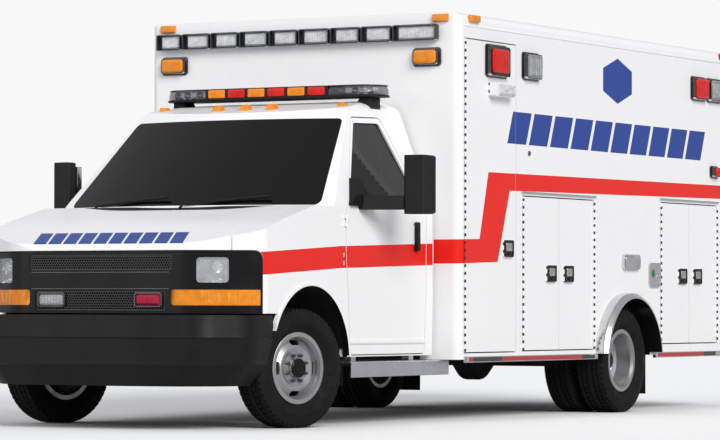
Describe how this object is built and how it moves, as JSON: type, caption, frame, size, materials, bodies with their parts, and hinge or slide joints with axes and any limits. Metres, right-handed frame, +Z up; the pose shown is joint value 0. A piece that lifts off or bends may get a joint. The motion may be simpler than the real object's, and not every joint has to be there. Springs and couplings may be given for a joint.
{
  "type": "box ambulance on a cutaway van chassis",
  "caption": "Box-body ambulance on a cutaway van chassis, with hinged cab, compartment and rear doors, opening hood, steered front wheels and twin rear wheels.",
  "frame": {"origin": "on the ground, below the middle of the overall box of the vehicle", "axes": "+Y rearward along the vehicle, +X to its left (street side), +Z up"},
  "size_m": [2.87, 7.16, 2.66],
  "materials": {
    "body_white": "glossy white coach paint",
    "module_white": "glossy white coach paint on aluminium panels",
    "bumper_black": "satin black moulded plastic",
    "grille_black": "gloss black moulded plastic",
    "window_glass": "dark tinted glass",
    "clear_lens": "clear moulded lens",
    "red_lens": "red moulded lens",
    "amber_lens": "amber moulded lens",
    "chrome": "chrome plate",
    "aluminium": "bright rolled aluminium",
    "tread_plate": "diamond tread plate",
    "tyre": "black tyre rubber",
    "wheel_steel": "silver painted steel",
    "frame_black": "black chassis paint",
    "cast_iron": "cast surface",
    "rubber": "matt black rubber",
    "seat_grey": "woven grey cloth",
    "trim_black": "grained black plastic"
  },
  "bodies": {
    "chassis": {"amber_lamps": "amber_lens", "cab_interior": "seat_grey", "cab_shell": "body_white", "chassis_frame": "frame_black", "clear_lamps": "clear_lens", "compartment_liners": "aluminium", "cowl_and_wipers": "trim_black", "front_bumper": "bumper_black", "front_fascia": "grille_black", "front_fenders": "body_white", "front_suspension": "frame_black", "fuel_tank": "frame_black", "grille": "grille_black", "headlamps": "clear_lens", "lamp_housings": "chrome", "lightbar": "trim_black", "module_curb_side": "module_white", "module_floor": "aluminium", "module_front_wall": "module_white", "module_rear_frame": "module_white", "module_roof": "module_white", "module_street_side": "module_white", "powertrain": "cast_iron", "rear_axle": "frame_black", "rear_step": "tread_plate", "red_lamps": "red_lens", "rubber_guards": "rubber", "running_boards": "tread_plate", "side_trim": "aluminium", "wheelhouse_liners": "trim_black", "windshield": "window_glass"},
    "hood": {"hood": "body_white"},
    "entry_door": {"curb_entry_door": "module_white", "curb_entry_glass": "window_glass"},
    "street_tall_door": {"street_tall_door": "module_white"},
    "street_front_door_a": {"street_front_door_a": "module_white"},
    "street_front_door_b": {"street_front_door_b": "module_white"},
    "street_rear_door_a": {"street_rear_door_a": "module_white"},
    "street_rear_door_b": {"street_rear_door_b": "module_white"},
    "curb_rear_door": {"curb_rear_door": "module_white"},
    "cab_door_left": {"cab_door_left": "body_white", "door_glass_left": "window_glass", "mirror_left": "trim_black"},
    "rear_door_left": {"rear_door_left": "module_white", "rear_glass_left": "window_glass"},
    "knuckle_left": {"knuckle_left": "cast_iron"},
    "front_wheel_left": {"front_rim_left": "wheel_steel", "front_tyre_left": "tyre"},
    "rear_wheels_left": {"rear_rims_left": "wheel_steel", "rear_tyres_left": "tyre"},
    "cab_door_right": {"cab_door_right": "body_white", "door_glass_right": "window_glass", "mirror_right": "trim_black"},
    "rear_door_right": {"rear_door_right": "module_white", "rear_glass_right": "window_glass"},
    "knuckle_right": {"knuckle_right": "cast_iron"},
    "front_wheel_right": {"front_rim_right": "wheel_steel", "front_tyre_right": "tyre"},
    "rear_wheels_right": {"rear_rims_right": "wheel_steel", "rear_tyres_right": "tyre"}
  },
  "joints": [
    {"name": "hood_hinge", "type": "hinge", "parent": "chassis", "child": "hood", "pos_m": [0, -2.445, 1.372], "axis": [-1, 0, 0], "range_deg": [0, 45]},
    {"name": "cab_door_left_hinge", "type": "hinge", "parent": "chassis", "child": "cab_door_left", "pos_m": [1.0183, -2.1435, 1.1], "axis": [0, 0, -1], "range_deg": [0, 65]},
    {"name": "cab_door_right_hinge", "type": "hinge", "parent": "chassis", "child": "cab_door_right", "pos_m": [-1.0183, -2.1435, 1.1], "axis": [0, 0, 1], "range_deg": [0, 65]},
    {"name": "street_tall_door_hinge", "type": "hinge", "parent": "chassis", "child": "street_tall_door", "pos_m": [1.1973, -0.912, 1.4675], "axis": [0, 0, -1], "range_deg": [0, 100]},
    {"name": "street_front_door_a_hinge", "type": "hinge", "parent": "chassis", "child": "street_front_door_a", "pos_m": [1.1973, -0.081, 0.9675], "axis": [0, 0, -1], "range_deg": [0, 90]},
    {"name": "street_front_door_b_hinge", "type": "hinge", "parent": "chassis", "child": "street_front_door_b", "pos_m": [1.1973, 1.006, 0.9675], "axis": [0, 0, 1], "range_deg": [0, 90]},
    {"name": "street_rear_door_a_hinge", "type": "hinge", "parent": "chassis", "child": "street_rear_door_a", "pos_m": [1.1973, 2.114, 0.99], "axis": [0, 0, -1], "range_deg": [0, 90]},
    {"name": "street_rear_door_b_hinge", "type": "hinge", "parent": "chassis", "child": "street_rear_door_b", "pos_m": [1.1973, 3.106, 0.99], "axis": [0, 0, 1], "range_deg": [0, 90]},
    {"name": "entry_door_hinge", "type": "hinge", "parent": "chassis", "child": "entry_door", "pos_m": [-1.1973, -0.396, 1.4], "axis": [0, 0, 1], "range_deg": [0, 90]},
    {"name": "curb_rear_door_hinge", "type": "hinge", "parent": "chassis", "child": "curb_rear_door", "pos_m": [-1.1973, 3.056, 0.99], "axis": [0, 0, -1], "range_deg": [0, 90]},
    {"name": "rear_door_left_hinge", "type": "hinge", "parent": "chassis", "child": "rear_door_left", "pos_m": [0.636, 3.3873, 1.46], "axis": [0, 0, -1], "range_deg": [0, 100]},
    {"name": "rear_door_right_hinge", "type": "hinge", "parent": "chassis", "child": "rear_door_right", "pos_m": [-0.636, 3.3873, 1.46], "axis": [0, 0, 1], "range_deg": [0, 100]},
    {"name": "steer_left", "type": "hinge", "parent": "chassis", "child": "knuckle_left", "pos_m": [0.82, -2.57, 0.366], "axis": [0, 0, 1], "range_deg": [-18, 46]},
    {"name": "spin_front_left", "type": "hinge", "parent": "knuckle_left", "child": "front_wheel_left", "pos_m": [0.86172, -2.5804, 0.366], "axis": [0.9703, -0.2419, 0], "continuous": true},
    {"name": "spin_rear_left", "type": "hinge", "parent": "chassis", "child": "rear_wheels_left", "pos_m": [0.9475, 1.469, 0.366], "axis": [1, 0, 0], "continuous": true},
    {"name": "steer_right", "type": "hinge", "parent": "chassis", "child": "knuckle_right", "pos_m": [-0.82, -2.57, 0.366], "axis": [0, 0, 1], "range_deg": [-18, 46]},
    {"name": "spin_front_right", "type": "hinge", "parent": "knuckle_right", "child": "front_wheel_right", "pos_m": [-0.86172, -2.5596, 0.366], "axis": [0.9703, -0.2419, 0], "continuous": true},
    {"name": "spin_rear_right", "type": "hinge", "parent": "chassis", "child": "rear_wheels_right", "pos_m": [-0.9475, 1.469, 0.366], "axis": [1, 0, 0], "continuous": true}
  ],
  "couplings": [
    {"joint": "steer_right", "follows": "steer_left", "ratio": 1}
  ]
}
